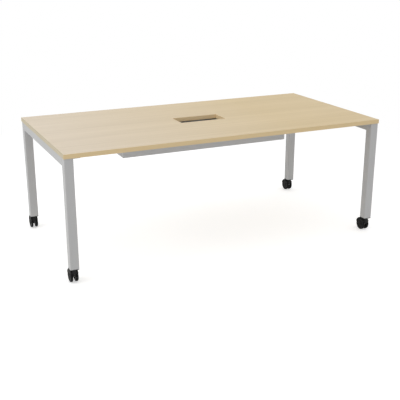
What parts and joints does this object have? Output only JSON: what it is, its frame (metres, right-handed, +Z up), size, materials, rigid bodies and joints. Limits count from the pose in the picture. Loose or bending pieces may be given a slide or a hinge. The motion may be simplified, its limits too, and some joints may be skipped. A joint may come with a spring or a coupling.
{
  "type": "rolling meeting table",
  "caption": "Rectangular wood-topped meeting table with a cable cut-out and a sheet tray under it, on a square steel tube frame with swivelling twin-wheel casters.",
  "frame": {"origin": "on the floor, under the middle of the top", "axes": "+X along the table from its left end to its right end, +Y from its front edge to its back edge, +Z up"},
  "size_m": [2, 1.0374, 0.735],
  "materials": {
    "top_wood": "satin light maple decor on board",
    "edging": "satin tan edging strip",
    "frame_paint": "silver-grey powder coat",
    "tray_paint": "silver-grey powder coat",
    "caster_plastic": "black moulded nylon",
    "wheel_plastic": "black moulded nylon",
    "plated_steel": "bright zinc plate"
  },
  "bodies": {
    "table": {"beam_bolts": "plated_steel", "beam_front": "frame_paint", "beam_plate_front_left": "frame_paint", "beam_plate_front_right": "frame_paint", "beam_plate_rear_left": "frame_paint", "beam_plate_rear_right": "frame_paint", "beam_rear": "frame_paint", "beam_tabs": "frame_paint", "cable_tray": "tray_paint", "caster_stem_front_left": "plated_steel", "caster_stem_front_right": "plated_steel", "caster_stem_rear_left": "plated_steel", "caster_stem_rear_right": "plated_steel", "cutout_band": "edging", "edge_band_front": "edging", "edge_band_left": "edging", "edge_band_rear": "edging", "edge_band_right": "edging", "end_rail_left": "frame_paint", "end_rail_right": "frame_paint", "leg_front_left": "frame_paint", "leg_front_right": "frame_paint", "leg_insert_front_left": "caster_plastic", "leg_insert_front_right": "caster_plastic", "leg_insert_rear_left": "caster_plastic", "leg_insert_rear_right": "caster_plastic", "leg_rear_left": "frame_paint", "leg_rear_right": "frame_paint", "leg_tabs": "frame_paint", "rivet_nuts": "plated_steel", "stem_ring_front_left": "plated_steel", "stem_ring_front_right": "plated_steel", "stem_ring_rear_left": "plated_steel", "stem_ring_rear_right": "plated_steel", "top_panel": "top_wood", "top_screws": "plated_steel", "tray_end_left": "tray_paint", "tray_end_right": "tray_paint", "tray_screws": "plated_steel"},
    "swivel_front_left": {"caster_hood_front_left": "caster_plastic", "caster_axle_front_left": "plated_steel"},
    "roller_front_left_left": {"wheel_front_left_left": "wheel_plastic"},
    "roller_front_left_right": {"wheel_front_left_right": "wheel_plastic"},
    "swivel_front_right": {"caster_hood_front_right": "caster_plastic", "caster_axle_front_right": "plated_steel"},
    "roller_front_right_left": {"wheel_front_right_left": "wheel_plastic"},
    "roller_front_right_right": {"wheel_front_right_right": "wheel_plastic"},
    "swivel_rear_left": {"caster_hood_rear_left": "caster_plastic", "caster_axle_rear_left": "plated_steel"},
    "roller_rear_left_left": {"wheel_rear_left_left": "wheel_plastic"},
    "roller_rear_left_right": {"wheel_rear_left_right": "wheel_plastic"},
    "swivel_rear_right": {"caster_hood_rear_right": "caster_plastic", "caster_axle_rear_right": "plated_steel"},
    "roller_rear_right_left": {"wheel_rear_right_left": "wheel_plastic"},
    "roller_rear_right_right": {"wheel_rear_right_right": "wheel_plastic"}
  },
  "joints": [
    {"name": "swivel_front_left_turn", "type": "hinge", "parent": "table", "child": "swivel_front_left", "pos_m": [-0.972, -0.472, 0.06], "axis": [0, 0, 1], "continuous": true},
    {"name": "roller_front_left_left_spin", "type": "hinge", "parent": "swivel_front_left", "child": "roller_front_left_left", "pos_m": [-0.987, -0.448, 0.0375], "axis": [1, 0, 0], "continuous": true},
    {"name": "roller_front_left_right_spin", "type": "hinge", "parent": "swivel_front_left", "child": "roller_front_left_right", "pos_m": [-0.957, -0.448, 0.0375], "axis": [1, 0, 0], "continuous": true},
    {"name": "swivel_front_right_turn", "type": "hinge", "parent": "table", "child": "swivel_front_right", "pos_m": [0.972, -0.472, 0.06], "axis": [0, 0, 1], "continuous": true},
    {"name": "roller_front_right_left_spin", "type": "hinge", "parent": "swivel_front_right", "child": "roller_front_right_left", "pos_m": [0.957, -0.448, 0.0375], "axis": [1, 0, 0], "continuous": true},
    {"name": "roller_front_right_right_spin", "type": "hinge", "parent": "swivel_front_right", "child": "roller_front_right_right", "pos_m": [0.987, -0.448, 0.0375], "axis": [1, 0, 0], "continuous": true},
    {"name": "swivel_rear_left_turn", "type": "hinge", "parent": "table", "child": "swivel_rear_left", "pos_m": [-0.972, 0.472, 0.06], "axis": [0, 0, 1], "continuous": true},
    {"name": "roller_rear_left_left_spin", "type": "hinge", "parent": "swivel_rear_left", "child": "roller_rear_left_left", "pos_m": [-0.987, 0.496, 0.0375], "axis": [1, 0, 0], "continuous": true},
    {"name": "roller_rear_left_right_spin", "type": "hinge", "parent": "swivel_rear_left", "child": "roller_rear_left_right", "pos_m": [-0.957, 0.496, 0.0375], "axis": [1, 0, 0], "continuous": true},
    {"name": "swivel_rear_right_turn", "type": "hinge", "parent": "table", "child": "swivel_rear_right", "pos_m": [0.972, 0.472, 0.06], "axis": [0, 0, 1], "continuous": true},
    {"name": "roller_rear_right_left_spin", "type": "hinge", "parent": "swivel_rear_right", "child": "roller_rear_right_left", "pos_m": [0.957, 0.496, 0.0375], "axis": [1, 0, 0], "continuous": true},
    {"name": "roller_rear_right_right_spin", "type": "hinge", "parent": "swivel_rear_right", "child": "roller_rear_right_right", "pos_m": [0.987, 0.496, 0.0375], "axis": [1, 0, 0], "continuous": true}
  ]
}
